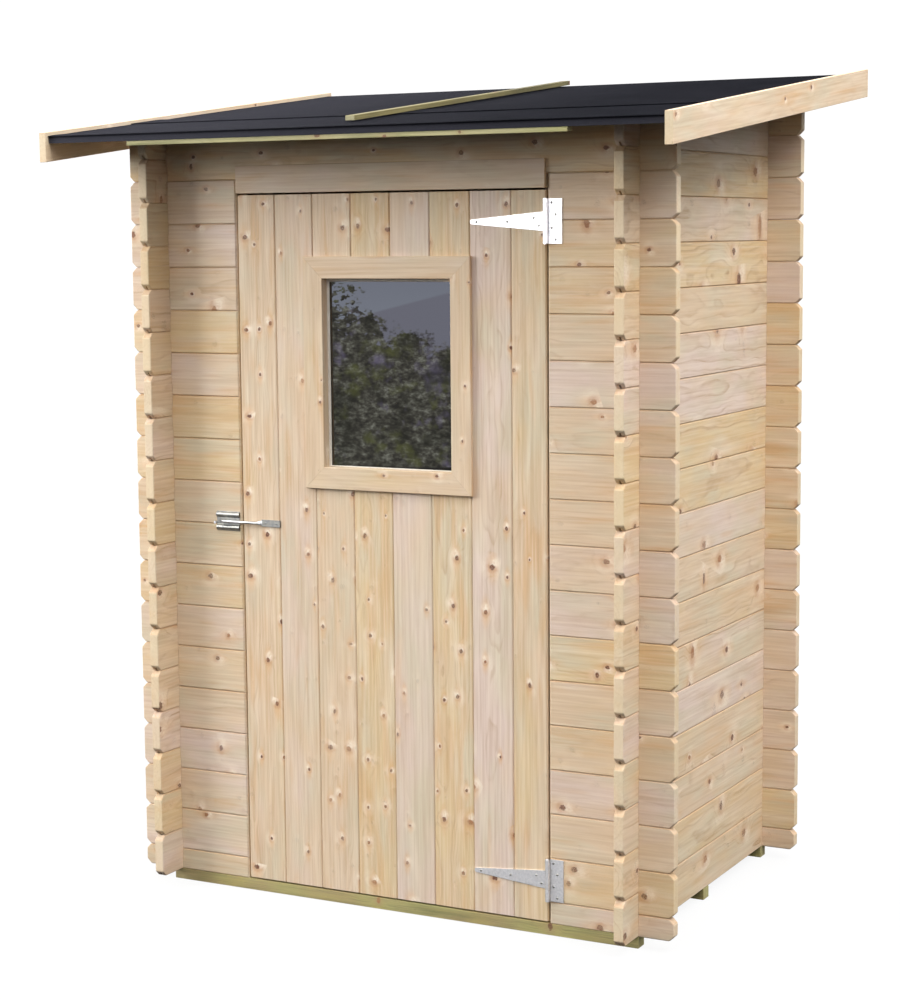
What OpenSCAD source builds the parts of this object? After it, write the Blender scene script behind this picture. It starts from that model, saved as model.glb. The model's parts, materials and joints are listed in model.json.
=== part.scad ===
// Small log garden shed with a lean-to felt roof and one boarded door with a window.
// Origin: middle of the plan, at the underside of the bearers. +Z up, door on the -Y side.

/* [Walls] */
// Length over the wall faces, left to right
wall_w = 1460; // [1280:10:2400]
// Depth over the wall faces, front to back
wall_d = 980; // [780:10:1800]
// Height that one log covers
log_h = 120; // [100:2:150]
// Thickness of the logs
log_t = 28; // [19:1:44]
// How far the crossed log ends stand beyond the corners
log_end = 100; // [60:5:150]
// Full logs beside the doorway
door_courses = 16; // [14:1:17]
// Strip of the front wall between its last joint and the roof boards
top_strip = 15; // [5:1:40]

/* [Foundation] */
// Height of the bearers
bearer_h = 32; // [20:1:80]
// Width of the bearers
bearer_w = 40; // [30:1:90]
// Thickness of the floor boards
floor_t = 16; // [12:1:28]
// Width that one floor board covers
floor_board_w = 96; // [70:2:150]

/* [Roof] */
// Thickness of the roof boards
deck_t = 16; // [12:1:24]
// Width that one roof board covers
deck_board_w = 96; // [70:2:150]
// Thickness of one layer of roofing felt
felt_t = 2.5; // [1.5:0.5:5]
// Overhang of the roof boards at the front and the back
eave = 260; // [150:10:400]
// Overhang of the roof at the sides, over the bargeboards
side_eave = 200; // [140:10:300]
// Height of the bargeboards
barge_h = 80; // [60:5:140]
// Thickness of the bargeboards
barge_t = 22; // [16:1:30]
// How far the bargeboards stand above the felt
barge_rise = 11; // [4:1:30]
// How far the bargeboards run past the roof boards
barge_past = 16; // [5:1:40]
// Distance of the felt's overlap from the eave
felt_overlap_at = 380; // [200:10:800]
// Width of the felt's overlap
felt_overlap = 140; // [60:10:300]
// Width of the battens
batten_w = 28; // [18:1:50]
// Thickness of the battens
batten_t = 13; // [8:1:25]
// Length of the battens under the eaves
eave_batten_l = 1300; // [800:10:1400]
// Length of the batten on the felt
felt_batten_l = 1365; // [900:5:1460]
// Place of the batten on the felt, from the middle of the roof
felt_batten_x = -45; // [-300:5:300]
// How far the batten on the felt runs past the back edge
felt_batten_past = 8; // [2:1:16]

/* [Door] */
// Width of the door leaf
door_w = 940; // [700:10:1150]
// Thickness of the door boards
door_t = 16; // [14:1:24]
// Width that one door board covers
door_board_w = 120; // [80:2:150]
// Gap around the door leaf
door_gap = 5; // [4:1:10]
// Height of the head board over the door
head_h = 75; // [50:5:110]
// How far the head board stands in front of the logs
head_lip = 8; // [5:1:15]
// Width of the door posts
post_w = 58; // [40:1:90]
// Thickness of the door posts
post_t = 28; // [18:1:45]
// How far the door posts reach into the doorway as a stop
post_stop = 20; // [12:1:30]
// How far the door posts run past the top of the doorway
post_past = 78; // [40:1:100]
// Width of the ledges across the back of the door
ledge_w = 90; // [60:5:120]
// Thickness of the ledges and the brace
ledge_t = 18; // [14:1:28]
// Width of the brace
brace_w = 80; // [50:5:120]
// Distance of the brace's ends from the ledges' ends
brace_in = 20; // [5:1:40]

/* [Window] */
// Clear width of the window
window_w = 392; // [250:1:450]
// Clear height of the window
window_h = 513; // [300:1:600]
// Width of the trim around the window
trim_w = 60; // [40:1:80]
// Thickness of the trim
trim_t = 12; // [8:1:20]
// Distance from the door's top edge to the window
window_drop = 228; // [190:1:300]
// Thickness of the glass
glass_t = 4; // [3:1:6]
// How far the glass reaches behind the boards
glass_hold = 10; // [6:1:15]
// Width of the frame behind the glass
inner_frame_w = 40; // [30:1:60]
// Distance from the frame behind the glass to the middle ledge
ledge_drop = 16; // [5:1:60]

/* [Hinges and latch] */
// Length of a hinge strap
strap_l = 220; // [150:5:300]
// Height of a hinge strap at its root
strap_h = 51; // [40:1:70]
// Width of a strap's rounded tip
strap_tip = 12; // [8:1:20]
// Height of a hinge flange
flange_h = 115; // [90:1:150]
// Width of a hinge flange
flange_w = 44; // [30:1:60]
// Thickness of the hinge plates
plate_t = 2.5; // [2:0.5:4]
// Outer radius of the hinge knuckles
knuckle_r = 7; // [6:0.5:9]
// Radius of the hinge pins
pin_r = 3; // [2:0.5:4]
// Height of the lower hinge above the floor boards' underside
hinge_low = 120; // [90:5:250]
// Distance of the upper hinge from the door's top edge
hinge_drop = 80; // [70:5:150]
// Height of the latch above the floor boards' underside
latch_z = 1030; // [900:10:1090]
// Radius of the latch bar
latch_r = 4; // [3:0.5:6]
// Length of the keeper on the wall
keeper_l = 76; // [60:1:100]
// Height of the keeper on the wall
keeper_h = 55; // [45:1:70]
// Distance from the doorway to the keeper
keeper_in = 6; // [3:1:20]
// How far the latch bar reaches over the keeper
latch_reach = 57; // [40:1:70]
// Distance from the door's edge to the latch paddle
paddle_in = 62; // [40:1:100]
// Length of the latch paddle
paddle_l = 60; // [40:1:90]
// Height of the latch paddle
paddle_h = 19; // [15:1:30]
// Thickness of the latch paddle
paddle_t = 4; // [3:0.5:6]
// Length of the bent grip at the latch bar's end
grip_l = 30; // [20:1:50]

/* [Hidden] */
$fn = 48;

// Clearances
log_seam = 0.4;       // between two stacked logs
cross_slack = 0.3;    // beside a log in its crossing
seat = 0.3;           // between pieces that are nailed together on a slope
board_seam = 0.4;     // between two boards laid side by side
floor_edge = 1;       // around the floor boards
pin_slack = 0.05;     // around a hinge pin
knuckle_slack = 0.5;  // between a strap's knuckle and its flange's, and behind both
knuckle_room = 1;     // around a strap's knuckle, where its flange is cut away
ledge_clear = 30;     // between the ledges' ends and the door posts
latch_lift = 5.5;     // between the latch bar and the keeper's plate
rib_clear = 6;        // between the latch bar and the keeper's ribs

// Shaping
end_bevel = 14;     // bevel at the corners of a log's free end
edge_bevel = 2.5;   // bevel along a log's long edges
jamb_bevel = 5;     // bevel of the logs at the doorway
board_bevel = 3;    // bevel along the door boards' outer edges
felt_fold = 1;      // how far the felt's folds reach below the roof boards
felt_drop = 8;      // run over which the upper felt comes down from the lower felt's edge
keeper_rib_r = 8;   // radius of the keeper's ribs
latch_neck_l = 12;  // length of the neck between the paddle and the latch bar
least_board = 30;   // the last board of a row is at least this wide

// Levels
wall_z = bearer_h;
head_z = wall_z + log_h * (door_courses + 0.5);
front_top_z = head_z + log_h + top_strip;
slope = log_h / wall_d;
pitch = atan(slope);
deck_v = deck_t / cos(pitch);
felt_v = felt_t / cos(pitch);
floor_top = wall_z + floor_t;

// Plan
front_y = -wall_d / 2;
back_y = wall_d / 2;
half_w = wall_w / 2;
inner_w = half_w - log_t;
eave_front = front_y - eave;
eave_back = back_y + eave;
roof_half = half_w + side_eave;
deck_half = roof_half - barge_t - seat;
open_half = door_w / 2 + door_gap;
stop_half = open_half - post_stop;

// Door
door_low = wall_z + door_gap;
head_low = head_z - head_h / 2;
door_high = head_low - door_gap;
door_back_y = front_y + door_t;
ledge_half = stop_half - ledge_clear;
window_high = door_high - window_drop;
window_low = window_high - window_h;
window_mid = (window_high + window_low) / 2;
ledge_mid_z = window_low - inner_frame_w - ledge_drop - ledge_w / 2;

// Hinges
axis_x = door_w / 2 + door_gap / 2;
axis_y = front_y - knuckle_r - knuckle_slack;
hinge_upper_z = door_high - hinge_drop;
hinge_lower_z = wall_z + hinge_low;

// Latch
latch_bar_y = front_y - plate_t - latch_lift - latch_r;
latch_mid_z = wall_z + latch_z;
keeper_right = -open_half - keeper_in;
latch_tip = keeper_right - latch_reach;
paddle_left = -door_w / 2 + paddle_in;

// Height of the roof boards' underside at y
function roof_z(y) = front_top_z + slope * (y - front_y);
// Height of the roof boards' top at y
function deck_z(y) = roof_z(y) + deck_v;
// Sides of each board in a row that covers x0 to x1, as [left, right]
function board_row(x0, x1, w) = let(n = max(1, ceil((x1 - x0 - least_board) / w)))
    [for (i = [0 : n - 1])
        [x0 + i * w + (i == 0 ? 0 : board_seam / 2), i == n - 1 ? x1 : x0 + (i + 1) * w - board_seam / 2]];

// Draws a profile given in Y and Z, and extrudes it along X
module along_x(x0, x1) {
    translate([x0, 0, 0]) rotate([90, 0, 90]) linear_extrude(x1 - x0) children();
}

// Draws a profile given in X and Z, and extrudes it along Y
module along_y(y0, y1) {
    translate([0, y1, 0]) rotate([90, 0, 0]) linear_extrude(y1 - y0) children();
}

// Bar that follows the roof from y0 to y1, between two heights above its boards' underside
module roof_profile(y0, y1, low, high) {
    polygon([[y0, roof_z(y0) + low], [y1, roof_z(y1) + low],
             [y1, roof_z(y1) + high], [y0, roof_z(y0) + high]]);
}

// Takes a bevel of the given size off the corner it is centred on
module corner_cut(bevel) {
    rotate(45) square(bevel * sqrt(2), center = true);
}

// Side view of a log from a to b, with notches of depth log_h / 4 where it crosses another wall.
// mid is the height of its middle, and it covers lo to hi.
module log_outline(a, b, lo, hi, mid, crossings, bevel_a, bevel_b) {
    tongue = log_h / 4 - log_seam / 2;
    notch_w = log_t + 2 * cross_slack;
    lo_face = lo + log_seam / 2;
    hi_face = hi - log_seam / 2;
    difference() {
        translate([a, lo_face]) square([b - a, hi_face - lo_face]);
        for (c = crossings) {
            translate([c - cross_slack, mid - tongue - log_h]) square([notch_w, log_h]);
            translate([c - cross_slack, mid + tongue]) square([notch_w, log_h]);
        }
        for (z = [lo_face, hi_face]) {
            if (bevel_a) translate([a, z]) corner_cut(end_bevel);
            if (bevel_b) translate([b, z]) corner_cut(end_bevel);
        }
    }
}

// Cross-section of a log, from side 0 to log_t, with its long edges bevelled
module log_section(lo, hi) {
    lo_face = lo + log_seam / 2;
    hi_face = hi - log_seam / 2;
    b = edge_bevel;
    polygon([[b, lo_face], [log_t - b, lo_face], [log_t, lo_face + b], [log_t, hi_face - b],
             [log_t - b, hi_face], [b, hi_face], [0, hi_face - b], [0, lo_face + b]]);
}

// Log along X, with its outer or inner face at y
module x_log(x0, x1, y, lo, hi, mid, crossings, bevel0, bevel1) {
    intersection() {
        along_y(y, y + log_t) log_outline(x0, x1, lo, hi, mid, crossings, bevel0, bevel1);
        along_x(x0 - 1, x1 + 1) translate([y, 0]) log_section(lo, hi);
    }
}

// Log along Y, from the front log ends to the back ones, with its face at x
module y_log(x, lo, hi, mid) {
    y0 = front_y - log_end;
    y1 = back_y + log_end;
    intersection() {
        along_x(x, x + log_t)
            log_outline(y0, y1, lo, hi, mid, [front_y, back_y - log_t], true, true);
        along_y(y0 - 1, y1 + 1) translate([x, 0]) log_section(lo, hi);
    }
}

// Space under the roof boards
module under_roof() {
    y0 = front_y - 2 * log_end;
    y1 = back_y + 2 * log_end;
    along_x(-roof_half, roof_half)
        polygon([[y0, 0], [y1, 0], [y1, roof_z(y1) - seat], [y0, roof_z(y0) - seat]]);
}

// Half log and full logs of a front or back wall, up to the given number of full logs
module x_courses(x0, x1, y, courses, crossings, bevel0, bevel1) {
    x_log(x0, x1, y, wall_z - log_seam / 2, wall_z + log_h / 2, wall_z, crossings, bevel0, bevel1);
    for (k = [1 : courses])
        x_log(x0, x1, y, wall_z + log_h * (k - 0.5), wall_z + log_h * (k + 0.5), wall_z + log_h * k,
              crossings, bevel0, bevel1);
}

module bearer(y) {
    color("darkkhaki") translate([-half_w, y, 0]) cube([wall_w, bearer_w, bearer_h]);
}

module bearer_front() {
    bearer(front_y);
}

module bearer_middle() {
    bearer(-bearer_w / 2);
}

module bearer_back() {
    bearer(back_y - bearer_w);
}

// Outline of the floor, with the stretch that reaches into the doorway
module floor_outline() {
    room_w = inner_w - floor_edge;
    room_d = wall_d / 2 - log_t - floor_edge;
    sill_w = open_half - floor_edge;
    translate([-room_w, -room_d]) square([2 * room_w, 2 * room_d]);
    translate([-sill_w, door_back_y + door_gap]) square([2 * sill_w, log_t]);
}

module floor_deck() {
    color("burlywood") translate([0, 0, wall_z])
        for (side = board_row(-inner_w + floor_edge, inner_w - floor_edge, floor_board_w))
            linear_extrude(floor_t) intersection() {
                floor_outline();
                translate([side[0], -wall_d]) square([side[1] - side[0], 2 * wall_d]);
            }
}

module front_wall_left() {
    color("burlywood") difference() {
        x_courses(-half_w - log_end, -open_half, front_y, door_courses, [-half_w], true, false);
        jamb_edges(-open_half);
    }
}

module front_wall_right() {
    color("burlywood") difference() {
        x_courses(open_half, half_w + log_end, front_y, door_courses, [half_w - log_t], false, true);
        jamb_edges(open_half);
    }
}

// What the bevels take off the logs at a side of the doorway
module jamb_edges(x) {
    for (y = [front_y, front_y + log_t])
        translate([x, y, 0]) linear_extrude(2 * head_z) corner_cut(jamb_bevel);
}

module front_wall_top() {
    color("burlywood") intersection() {
        x_log(-half_w - log_end, half_w + log_end, front_y, head_z, head_z + 2 * log_h,
              head_z + log_h / 2, [-half_w, half_w - log_t], true, true);
        under_roof();
    }
}

module side_wall(x) {
    top_log = ceil((roof_z(back_y + log_end) - wall_z) / log_h);
    color("burlywood") intersection() {
        union() {
            for (k = [1 : top_log])
                y_log(x, wall_z + log_h * (k - 1) - (k == 1 ? log_seam / 2 : 0), wall_z + log_h * k,
                      wall_z + log_h * (k - 0.5));
        }
        under_roof();
    }
}

module side_wall_left() {
    side_wall(-half_w);
}

module side_wall_right() {
    side_wall(half_w - log_t);
}

module back_wall() {
    y = back_y - log_t;
    crossings = [-half_w, half_w - log_t];
    low = head_z + log_h;
    color("burlywood") {
        x_courses(-half_w - log_end, half_w + log_end, y, door_courses + 1, crossings, true, true);
        intersection() {
            x_log(-half_w - log_end, half_w + log_end, y, low, low + 2 * log_h, low + log_h / 2,
                  crossings, true, true);
            under_roof();
        }
    }
}

// Post behind the logs at a side of the doorway: side is -1 or 1
module door_post(side) {
    x = side * (stop_half + post_w / 2);
    color("tan") translate([x - post_w / 2, front_y + log_t + seat, floor_top])
        cube([post_w, post_t, head_z + post_past - floor_top]);
}

module door_post_left() {
    door_post(-1);
}

module door_post_right() {
    door_post(1);
}

module door_head_board() {
    y = front_y - head_lip;
    color("burlywood") along_x(-door_w / 2, door_w / 2)
        polygon([[y, head_low], [front_y + log_t, head_low], [front_y + log_t, head_z],
                 [front_y - seat, head_z], [front_y - seat, head_z + head_h / 2],
                 [y, head_z + head_h / 2]]);
}

module roof_deck() {
    color("burlywood") for (side = board_row(-deck_half, deck_half, deck_board_w))
        along_x(side[0], side[1]) roof_profile(eave_front, eave_back, 0, deck_v);
}

// Lower strip of felt: from the fold over the eave to under the upper strip
module roof_felt_lower() {
    y0 = eave_front - seat;
    y1 = eave_front + felt_overlap_at + felt_overlap;
    low = roof_z(y0) - felt_fold;
    color("darkslategray") along_x(-deck_half, deck_half)
        polygon([[y0 - felt_t, low], [y0, low], [y0, deck_z(y0) + seat], [y1, deck_z(y1) + seat],
                 [y1, deck_z(y1) + seat + felt_v], [y0 - felt_t, deck_z(y0) + seat + felt_v]]);
}

// Upper strip of felt: over the lower strip's top edge, and folded over the back edge
module roof_felt_upper() {
    y0 = eave_front + felt_overlap_at;
    y1 = y0 + felt_overlap + felt_t;
    y2 = y1 + felt_drop;
    y3 = eave_back + seat;
    lap = 2 * seat + felt_v;
    low = roof_z(y3) - felt_fold;
    color("darkslategray") along_x(-deck_half, deck_half)
        polygon([[y0, deck_z(y0) + lap], [y1, deck_z(y1) + lap], [y2, deck_z(y2) + seat],
                 [y3, deck_z(y3) + seat], [y3, low], [y3 + felt_t, low],
                 [y3 + felt_t, deck_z(y3) + seat + felt_v], [y2, deck_z(y2) + seat + felt_v],
                 [y1, deck_z(y1) + lap + felt_v], [y0, deck_z(y0) + lap + felt_v]]);
}

module bargeboard(x) {
    high = deck_v + felt_v + barge_rise;
    color("wheat") along_x(x, x + barge_t)
        roof_profile(eave_front - barge_past, eave_back + barge_past, high - barge_h, high);
}

module bargeboard_left() {
    bargeboard(-roof_half);
}

module bargeboard_right() {
    bargeboard(roof_half - barge_t);
}

// Batten that holds the felt down, from the back edge towards the eave
module felt_batten() {
    y1 = eave_back + felt_batten_past;
    low = deck_v + 3 * seat + 2 * felt_v;
    left = felt_batten_x - batten_w / 2;
    color("darkkhaki") along_x(left, left + batten_w)
        roof_profile(y1 - felt_batten_l * cos(pitch), y1, low, low + batten_t);
}

// Batten under the ends of the roof boards
module eave_batten(y) {
    color("darkkhaki") along_x(-eave_batten_l / 2, eave_batten_l / 2)
        roof_profile(y, y + batten_w, -seat - batten_t, -seat);
}

module eave_batten_front() {
    eave_batten(eave_front);
}

module eave_batten_back() {
    eave_batten(eave_back - batten_w);
}

module hinge_flange(z) {
    gap_h = strap_h + 2 * knuckle_slack;
    color("silver") translate([axis_x, axis_y, z]) difference() {
        union() {
            translate([0, front_y - axis_y - plate_t, -flange_h / 2]) cube([flange_w, plate_t, flange_h]);
            translate([0, 0, -flange_h / 2]) cylinder(r = knuckle_r, h = flange_h);
        }
        translate([0, 0, -gap_h / 2]) cylinder(r = knuckle_r + knuckle_room, h = gap_h);
        translate([0, 0, -flange_h]) cylinder(r = pin_r + pin_slack, h = 2 * flange_h);
    }
}

module hinge_flange_upper() {
    hinge_flange(hinge_upper_z);
}

module hinge_flange_lower() {
    hinge_flange(hinge_lower_z);
}

module hinge_strap(z) {
    tip_x = -strap_l + strap_tip / 2;
    color("gainsboro") translate([axis_x, axis_y, z]) difference() {
        union() {
            translate([0, front_y - axis_y, 0]) rotate([90, 0, 0]) linear_extrude(plate_t) {
                polygon([[0, -strap_h / 2], [0, strap_h / 2],
                         [tip_x, strap_tip / 2], [tip_x, -strap_tip / 2]]);
                translate([tip_x, 0]) circle(r = strap_tip / 2);
            }
            translate([0, 0, -strap_h / 2]) cylinder(r = knuckle_r, h = strap_h);
        }
        translate([0, 0, -strap_h]) cylinder(r = pin_r + pin_slack, h = 2 * strap_h);
    }
}

module hinge_strap_upper() {
    hinge_strap(hinge_upper_z);
}

module hinge_strap_lower() {
    hinge_strap(hinge_lower_z);
}

module hinge_pin(z) {
    head_t = 1.5;
    head_r = pin_r + 1;
    color("gray") translate([axis_x, axis_y, z - flange_h / 2 - head_t]) {
        cylinder(r = pin_r, h = flange_h + 2 * head_t);
        for (low = [0, flange_h + head_t + pin_slack])
            translate([0, 0, low]) cylinder(r = head_r, h = head_t - pin_slack);
    }
}

module hinge_pin_upper() {
    hinge_pin(hinge_upper_z);
}

module hinge_pin_lower() {
    hinge_pin(hinge_lower_z);
}

// Plate on the wall with a rounded rib above and below the latch bar
module latch_keeper() {
    rib_z = latch_r + rib_clear + keeper_rib_r;
    left = keeper_right - keeper_l;
    low = latch_mid_z - keeper_h / 2;
    color("silver") intersection() {
        union() {
            translate([left, front_y - plate_t, low]) cube([keeper_l, plate_t, keeper_h]);
            for (z = [-rib_z, rib_z]) translate([left, front_y, latch_mid_z + z])
                rotate([0, 90, 0]) cylinder(r = keeper_rib_r, h = keeper_l);
        }
        translate([left, front_y - 2 * keeper_rib_r, low])
            cube([keeper_l, 2 * keeper_rib_r, keeper_h]);
    }
}

// Flat paddle on the door, with a round bar across the gap and a bent grip at its end
module latch_bar() {
    bend_x = paddle_left - latch_neck_l;
    neck_h = 2 * latch_r + 5;
    joint = 2;
    color("gainsboro") translate([0, 0, latch_mid_z]) {
        translate([paddle_left, front_y - paddle_t, -paddle_h / 2]) cube([paddle_l, paddle_t, paddle_h]);
        hull() {
            translate([paddle_left, front_y - paddle_t, -neck_h / 2]) cube([joint, paddle_t, neck_h]);
            translate([bend_x, latch_bar_y, 0]) rotate([0, 90, 0]) cylinder(r = latch_r, h = joint);
        }
        translate([latch_tip, latch_bar_y, 0]) {
            rotate([0, 90, 0]) cylinder(r = latch_r, h = bend_x + joint / 2 - latch_tip);
            sphere(r = latch_r);
            rotate([90, 0, 0]) cylinder(r = latch_r, h = grip_l);
        }
    }
}

// Cross-section of a door board, with its outer long edges bevelled
module door_board_section(x0, x1) {
    b = board_bevel;
    polygon([[x0, door_back_y], [x0, front_y + b], [x0 + b, front_y],
             [x1 - b, front_y], [x1, front_y + b], [x1, door_back_y]]);
}

module door_leaf() {
    color("navajowhite") for (side = board_row(-door_w / 2, door_w / 2, door_board_w))
        difference() {
            translate([0, 0, door_low]) linear_extrude(door_high - door_low)
                door_board_section(side[0], side[1]);
            along_y(front_y - 1, door_back_y + 1) window_rect(0);
        }
}

module door_ledge(z) {
    color("tan") translate([-ledge_half, door_back_y, z - ledge_w / 2])
        cube([2 * ledge_half, ledge_t, ledge_w]);
}

module door_ledge_top() {
    door_ledge(hinge_upper_z);
}

module door_ledge_middle() {
    door_ledge(ledge_mid_z);
}

module door_ledge_bottom() {
    door_ledge(hinge_lower_z);
}

// Brace from the lower ledge's hinge side up to the middle ledge's latch side
module door_brace() {
    low = hinge_lower_z + ledge_w / 2 + seat;
    high = ledge_mid_z - ledge_w / 2 - seat;
    foot = ledge_half - brace_in;
    rise = high - low;
    cut = brace_w * sqrt(1 + pow(2 * foot / rise, 2));
    color("tan") along_y(door_back_y, door_back_y + ledge_t)
        polygon([[foot - cut, low], [foot, low], [-foot + cut, high], [-foot, high]]);
}

// One mitred bar of the window's trim, drawn along X with its outer edge at -y
module trim_bar(l) {
    polygon([[-l / 2, 0], [l / 2, 0], [l / 2 - trim_w, trim_w], [-l / 2 + trim_w, trim_w]]);
}

module window_trim(x, z, turn, l) {
    color("navajowhite") along_y(front_y - trim_t, front_y)
        translate([x, z]) rotate(turn) trim_bar(l - 2 * seat);
}

module window_trim_left() {
    window_trim(-window_w / 2 - trim_w, window_mid, -90, window_h + 2 * trim_w);
}

module window_trim_right() {
    window_trim(window_w / 2 + trim_w, window_mid, 90, window_h + 2 * trim_w);
}

module window_trim_top() {
    window_trim(0, window_high + trim_w, 180, window_w + 2 * trim_w);
}

module window_trim_bottom() {
    window_trim(0, window_low - trim_w, 0, window_w + 2 * trim_w);
}

// Rectangle around the window's middle that is larger than its clear size by more on each side
module window_rect(more) {
    translate([0, window_mid]) square([window_w + 2 * more, window_h + 2 * more], center = true);
}

module window_inner_frame() {
    rebate = glass_t + 2 * seat;
    color("tan") difference() {
        along_y(door_back_y, door_back_y + ledge_t) window_rect(inner_frame_w);
        along_y(door_back_y - 1, door_back_y + ledge_t + 1) window_rect(0);
        along_y(door_back_y - 1, door_back_y + rebate) window_rect(glass_hold + seat);
    }
}

module window_glass() {
    y = door_back_y + seat;
    color("slategray", 0.5) along_y(y, y + glass_t) window_rect(glass_hold);
}

bearer_front();
bearer_middle();
bearer_back();
floor_deck();
front_wall_left();
front_wall_right();
front_wall_top();
side_wall_left();
side_wall_right();
back_wall();
door_post_left();
door_post_right();
door_head_board();
roof_deck();
roof_felt_lower();
roof_felt_upper();
bargeboard_left();
bargeboard_right();
felt_batten();
eave_batten_front();
eave_batten_back();
hinge_flange_upper();
hinge_flange_lower();
hinge_pin_upper();
hinge_pin_lower();
latch_keeper();
door_leaf();
door_ledge_top();
door_ledge_middle();
door_ledge_bottom();
door_brace();
window_trim_left();
window_trim_right();
window_trim_top();
window_trim_bottom();
window_inner_frame();
window_glass();
hinge_strap_upper();
hinge_strap_lower();
latch_bar();
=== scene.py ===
"""Looks of a small log shed: planed spruce walls and door, bitumen felt roof, zinc fittings and a plain studio."""

import json
import math
import random
from functools import partial
from types import SimpleNamespace

import bmesh
import bpy
from mathutils import Matrix, Vector


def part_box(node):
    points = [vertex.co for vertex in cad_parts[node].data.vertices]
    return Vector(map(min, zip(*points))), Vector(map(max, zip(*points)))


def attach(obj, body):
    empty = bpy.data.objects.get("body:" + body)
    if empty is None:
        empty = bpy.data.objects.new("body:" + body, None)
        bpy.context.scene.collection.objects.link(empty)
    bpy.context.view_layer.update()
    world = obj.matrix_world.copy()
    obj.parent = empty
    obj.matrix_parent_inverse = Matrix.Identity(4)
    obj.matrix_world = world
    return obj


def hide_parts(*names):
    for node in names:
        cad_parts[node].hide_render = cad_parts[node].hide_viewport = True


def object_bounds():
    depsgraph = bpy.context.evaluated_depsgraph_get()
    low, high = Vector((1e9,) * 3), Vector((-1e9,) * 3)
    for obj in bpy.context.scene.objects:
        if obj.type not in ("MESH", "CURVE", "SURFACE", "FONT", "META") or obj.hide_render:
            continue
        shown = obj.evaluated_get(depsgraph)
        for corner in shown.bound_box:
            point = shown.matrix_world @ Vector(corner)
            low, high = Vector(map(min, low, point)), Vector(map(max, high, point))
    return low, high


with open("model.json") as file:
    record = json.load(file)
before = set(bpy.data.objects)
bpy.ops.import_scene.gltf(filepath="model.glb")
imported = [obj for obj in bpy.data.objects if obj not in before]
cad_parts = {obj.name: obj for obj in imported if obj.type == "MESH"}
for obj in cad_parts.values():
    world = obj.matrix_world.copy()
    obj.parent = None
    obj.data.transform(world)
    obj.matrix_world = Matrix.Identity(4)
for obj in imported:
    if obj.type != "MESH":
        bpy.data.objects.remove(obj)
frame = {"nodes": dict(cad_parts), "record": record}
cad_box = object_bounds()

bl_info = {
    "name": "Log shed",
    "version": (1, 0, 0),
    "blender": (4, 5, 0),
    "location": "3D View > Sidebar > Log shed",
    "description": "Builds the timber, felt, fittings and studio of a small log shed around its frame",
    "category": "Add Mesh",
}

MM = 0.001
X, Y, Z = 0, 1, 2
ROOF_SLOPE = 120 / 980  # rise of the roof towards the back
RECORD_SLOTS = {row.get("slot") for row in frame["record"].get("materials", [])}
LOOKS = {}  # every finish by its workshop name, filled by the finishes' operator

# Inputs and settings of a Mix node that lays one colour over another, and of a Map Range node with soft ends
SHARE, UNDER, OVER = 0, 6, 7
COLOURS = {"out": 2, "data_type": "RGBA"}
SMOOTH = {"interpolation_type": "SMOOTHSTEP"}


def linear(hex_colour):
    """Linear RGBA of an sRGB colour written as #RRGGBB."""
    parts = [int(hex_colour[i:i + 2], 16) / 255 for i in (1, 3, 5)]
    return tuple(c / 12.92 if c <= 0.04045 else ((c + 0.055) / 1.055) ** 2.4 for c in parts) + (1.0,)


def colour_setting(name, what, hex_colour):
    """A colour a user may change."""
    return bpy.props.FloatVectorProperty(
        name=name, description=f"Colour of {what}", subtype="COLOR", size=4, min=0, max=1, default=linear(hex_colour))


def number_setting(name, description, default, **more):
    """A power, strength or angle a user may change."""
    return bpy.props.FloatProperty(name=name, description=description, default=default, **more)


def length_setting(name, description, size, low, high):
    """A length a user may change, given here in millimetres."""
    return number_setting(name, description, size * MM, min=low * MM, max=high * MM, unit="LENGTH",
                          subtype="DISTANCE", precision=4)


class ShedTimberSettings(bpy.types.PropertyGroup):
    """Sizes and colours of the timber."""

    arris: length_setting("Arris", "Rounding of planed edges", 0.9, 0.2, 4)
    end_round: length_setting("End rounding", "Rounding round the end of a log", 3.5, 0.2, 6)
    groove_wide: length_setting("Groove width", "Width of the groove under a log", 5.5, 1, 12)
    groove_deep: length_setting("Groove depth", "Depth of the groove under a log", 9, 1, 20)
    ring: length_setting("Ring spacing", "Distance between the drawn growth rings", 9, 2, 30)
    rose: colour_setting("Rose wood", "the pinkish boards", "#DDC8BB")
    cream: colour_setting("Cream wood", "the plain boards", "#DAC1A3")
    sage: colour_setting("Sage wood", "the grey-green patches", "#D0C5AB")
    gold: colour_setting("Gold wood", "the yellow boards", "#DCC398")
    late: colour_setting("Late wood", "the dark half of a growth ring", "#AF8B66")
    resin: colour_setting("Resin", "the resin streaks", "#D3A36A")
    knot: colour_setting("Knot", "a dead knot's middle", "#6B4430")
    knot_live: colour_setting("Live knot", "a live knot's middle", "#A0704B")
    knot_rim: colour_setting("Knot rim", "the wood stained by a knot", "#B98560")
    halo: colour_setting("Knot halo", "the pale wood beside a knot", "#F4E5D0")
    end_grain: colour_setting("End grain", "a sawn end", "#E2CDA9")


class ShedTreatedSettings(bpy.types.PropertyGroup):
    """Colours of the pressure-treated battens and bearers."""

    green: colour_setting("Green", "the treated sapwood", "#A9A86C")
    straw: colour_setting("Straw", "the wood where the salts are thin", "#B1AA7E")
    yellow: colour_setting("Yellow", "the bearers' sapwood", "#B7A862")
    brown: colour_setting("Brown", "the treated heartwood", "#A59269")
    dark: colour_setting("Dark", "the dark grain", "#5E613C")
    # The lath on the roof has its own darker colours: painted shade, so that its side reads dark
    shaded_lath: colour_setting("Shaded lath", "the lath on the roof, darkened as painted shade", "#81774A")
    shaded_lath_grain: colour_setting("Weathered grain", "that lath's dark grain", "#3C381C")
    shaded_lath_end: colour_setting("Weathered end", "that lath's paler sawn end", "#B5B08E")


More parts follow.
